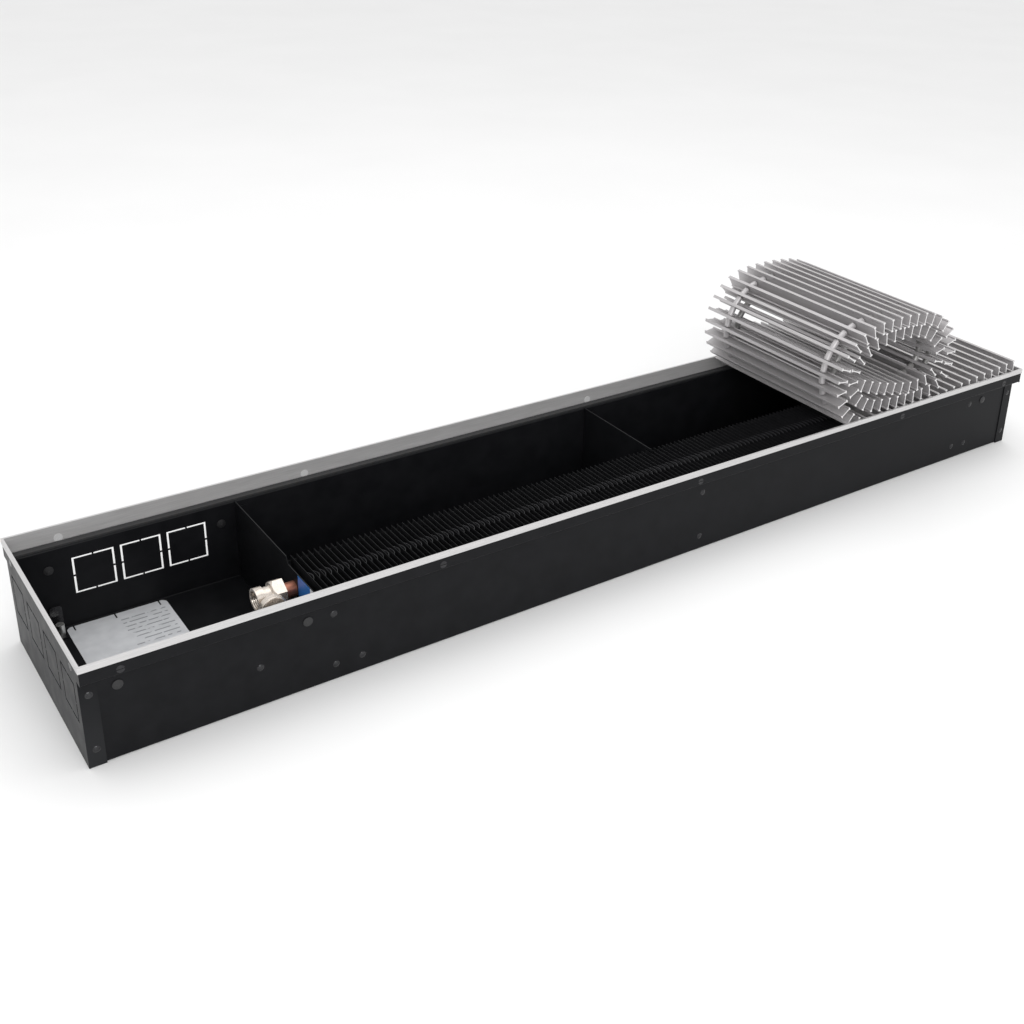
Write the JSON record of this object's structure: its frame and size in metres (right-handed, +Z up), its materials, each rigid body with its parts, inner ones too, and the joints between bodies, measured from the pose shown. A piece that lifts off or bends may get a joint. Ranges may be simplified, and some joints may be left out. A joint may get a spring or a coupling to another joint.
{
  "type": "in-floor trench convector",
  "caption": "Long black floor trough with an aluminium edge frame, a finned water heat exchanger inside and a silver slat grille partly rolled up on it.",
  "frame": {"origin": "middle of the trough's underside", "axes": "+X along the trough towards the rolled-up grille, +Y towards the rear (window) side, +Z up"},
  "size_m": [1.2, 0.242, 0.2268],
  "materials": {
    "trough_black": "fine-textured black powder coat, satin",
    "rail_aluminium": "natural anodised extrusion, fine draw lines",
    "slat_aluminium": "natural anodised extrusion, sawn ends",
    "sleeve_grey": "moulded grey spacer sleeve",
    "spring_steel": "drawn spring wire",
    "exchanger_black": "matt black coated aluminium fins",
    "copper": "drawn copper, dulled",
    "nickel": "nickel-plated brass",
    "fastener_black": "black-coated steel",
    "disc_aluminium": "pressed aluminium",
    "strip_black": "soft black damping strip",
    "card_silver": "silver-white coated card",
    "sticker_film": "printed film, blue field",
    "foot_steel": "zinc-plated",
    "bolt_zinc": "bright zinc-plated"
  },
  "bodies": {
    "trough": {"trough_channel": "trough_black", "end_plate_left": "trough_black", "end_plate_right": "trough_black", "partition_inlet": "trough_black", "partition_middle": "trough_black", "partition_outlet": "trough_black", "frame_rail_front": "rail_aluminium", "frame_rail_rear": "rail_aluminium", "frame_rail_left": "rail_aluminium", "frame_rail_right": "rail_aluminium", "frame_screws": "fastener_black", "end_rivets": "fastener_black", "partition_rivets": "fastener_black", "wall_rivets": "fastener_black", "wall_plugs": "fastener_black", "clinch_discs": "disc_aluminium", "exchanger_fins": "exchanger_black", "flow_tube": "copper", "return_tube": "copper", "return_bend": "copper", "flow_nut": "nickel", "return_nut": "nickel", "flow_fitting": "nickel", "return_valve": "nickel", "ledge_strips": "strip_black", "data_card": "card_silver", "flow_sticker": "sticker_film", "foot_brackets": "foot_steel"},
    "grille_flat": {"grille_flat_slats": "slat_aluminium", "grille_flat_sleeves": "sleeve_grey", "grille_flat_springs": "spring_steel"},
    "grille_link_01": {"grille_link_01": "slat_aluminium"},
    "grille_link_02": {"grille_link_02": "slat_aluminium"},
    "grille_link_03": {"grille_link_03": "slat_aluminium"},
    "grille_link_04": {"grille_link_04": "slat_aluminium"},
    "grille_link_05": {"grille_link_05": "slat_aluminium"},
    "grille_link_06": {"grille_link_06": "slat_aluminium"},
    "grille_link_07": {"grille_link_07": "slat_aluminium"},
    "grille_link_08": {"grille_link_08": "slat_aluminium"},
    "grille_link_09": {"grille_link_09": "slat_aluminium"},
    "grille_link_10": {"grille_link_10": "slat_aluminium"},
    "grille_link_11": {"grille_link_11": "slat_aluminium"},
    "grille_roll": {"grille_roll_slats": "slat_aluminium", "grille_roll_sleeves": "sleeve_grey", "grille_roll_springs": "spring_steel"},
    "valve_cap": {"valve_cap": "nickel"},
    "vent_screw": {"vent_screw": "nickel"},
    "foot_bolt_1": {"foot_bolt_1": "bolt_zinc"},
    "foot_bolt_2": {"foot_bolt_2": "bolt_zinc"},
    "foot_bolt_3": {"foot_bolt_3": "bolt_zinc"},
    "foot_bolt_4": {"foot_bolt_4": "bolt_zinc"}
  },
  "joints": [
    {"name": "grille_lift", "type": "slide", "parent": "trough", "child": "grille_flat", "axis": [0, 0, 1], "range_m": [0, 0.2]},
    {"name": "roll_open_01", "type": "hinge", "parent": "grille_flat", "child": "grille_link_01", "pos_m": [0.30241, 0, 0.0997], "axis": [0, -1, 0], "range_deg": [0, 26.45]},
    {"name": "roll_open_02", "type": "hinge", "parent": "grille_link_01", "child": "grille_link_02", "pos_m": [0.28807, 0, 0.10683], "axis": [0, -1, 0], "range_deg": [0, 13.85]},
    {"name": "roll_open_03", "type": "hinge", "parent": "grille_link_02", "child": "grille_link_03", "pos_m": [0.27696, 0, 0.11626], "axis": [0, -1, 0], "range_deg": [0, 13.85]},
    {"name": "roll_open_04", "type": "hinge", "parent": "grille_link_03", "child": "grille_link_04", "pos_m": [0.26842, 0, 0.12807], "axis": [0, -1, 0], "range_deg": [0, 13.85]},
    {"name": "roll_open_05", "type": "hinge", "parent": "grille_link_04", "child": "grille_link_05", "pos_m": [0.26296, 0, 0.14157], "axis": [0, -1, 0], "range_deg": [0, 13.85]},
    {"name": "roll_open_06", "type": "hinge", "parent": "grille_link_05", "child": "grille_link_06", "pos_m": [0.26089, 0, 0.156], "axis": [0, -1, 0], "range_deg": [0, 13.85]},
    {"name": "roll_open_07", "type": "hinge", "parent": "grille_link_06", "child": "grille_link_07", "pos_m": [0.26233, 0, 0.1705], "axis": [0, -1, 0], "range_deg": [0, 13.85]},
    {"name": "roll_open_08", "type": "hinge", "parent": "grille_link_07", "child": "grille_link_08", "pos_m": [0.2672, 0, 0.18423], "axis": [0, -1, 0], "range_deg": [0, 13.85]},
    {"name": "roll_open_09", "type": "hinge", "parent": "grille_link_08", "child": "grille_link_09", "pos_m": [0.27522, 0, 0.1964], "axis": [0, -1, 0], "range_deg": [0, 13.85]},
    {"name": "roll_open_10", "type": "hinge", "parent": "grille_link_09", "child": "grille_link_10", "pos_m": [0.28591, 0, 0.20629], "axis": [0, -1, 0], "range_deg": [0, 13.85]},
    {"name": "roll_open_11", "type": "hinge", "parent": "grille_link_10", "child": "grille_link_11", "pos_m": [0.29867, 0, 0.21334], "axis": [0, -1, 0], "range_deg": [0, 13.85]},
    {"name": "roll_open_12", "type": "hinge", "parent": "grille_link_11", "child": "grille_roll", "pos_m": [0.31201, 0, 0.21694], "axis": [0, -1, 0], "range_deg": [0, 9.54]},
    {"name": "valve_cap_turn", "type": "hinge", "parent": "trough", "child": "valve_cap", "pos_m": [-0.4106, -0.06, 0.064], "axis": [0, -1, 0], "continuous": true},
    {"name": "vent_screw_turn", "type": "hinge", "parent": "trough", "child": "vent_screw", "pos_m": [-0.4106, -0.082, 0.0738], "axis": [0, 0, 1], "continuous": true},
    {"name": "foot_bolt_1_turn", "type": "hinge", "parent": "trough", "child": "foot_bolt_1", "pos_m": [-0.5648, -0.096, 0], "axis": [0, 0, 1], "continuous": true},
    {"name": "foot_bolt_2_turn", "type": "hinge", "parent": "trough", "child": "foot_bolt_2", "pos_m": [-0.5648, 0.096, 0], "axis": [0, 0, 1], "continuous": true},
    {"name": "foot_bolt_3_turn", "type": "hinge", "parent": "trough", "child": "foot_bolt_3", "pos_m": [0.5648, -0.096, 0], "axis": [0, 0, 1], "continuous": true},
    {"name": "foot_bolt_4_turn", "type": "hinge", "parent": "trough", "child": "foot_bolt_4", "pos_m": [0.5648, 0.096, 0], "axis": [0, 0, 1], "continuous": true}
  ],
  "couplings": [
    {"joint": "roll_open_02", "follows": "roll_open_01", "ratio": 0.52356},
    {"joint": "roll_open_03", "follows": "roll_open_01", "ratio": 0.52356},
    {"joint": "roll_open_04", "follows": "roll_open_01", "ratio": 0.52356},
    {"joint": "roll_open_05", "follows": "roll_open_01", "ratio": 0.52356},
    {"joint": "roll_open_06", "follows": "roll_open_01", "ratio": 0.52356},
    {"joint": "roll_open_07", "follows": "roll_open_01", "ratio": 0.52356},
    {"joint": "roll_open_08", "follows": "roll_open_01", "ratio": 0.52356},
    {"joint": "roll_open_09", "follows": "roll_open_01", "ratio": 0.52356},
    {"joint": "roll_open_10", "follows": "roll_open_01", "ratio": 0.52356},
    {"joint": "roll_open_11", "follows": "roll_open_01", "ratio": 0.52356},
    {"joint": "roll_open_12", "follows": "roll_open_01", "ratio": 0.36085}
  ]
}
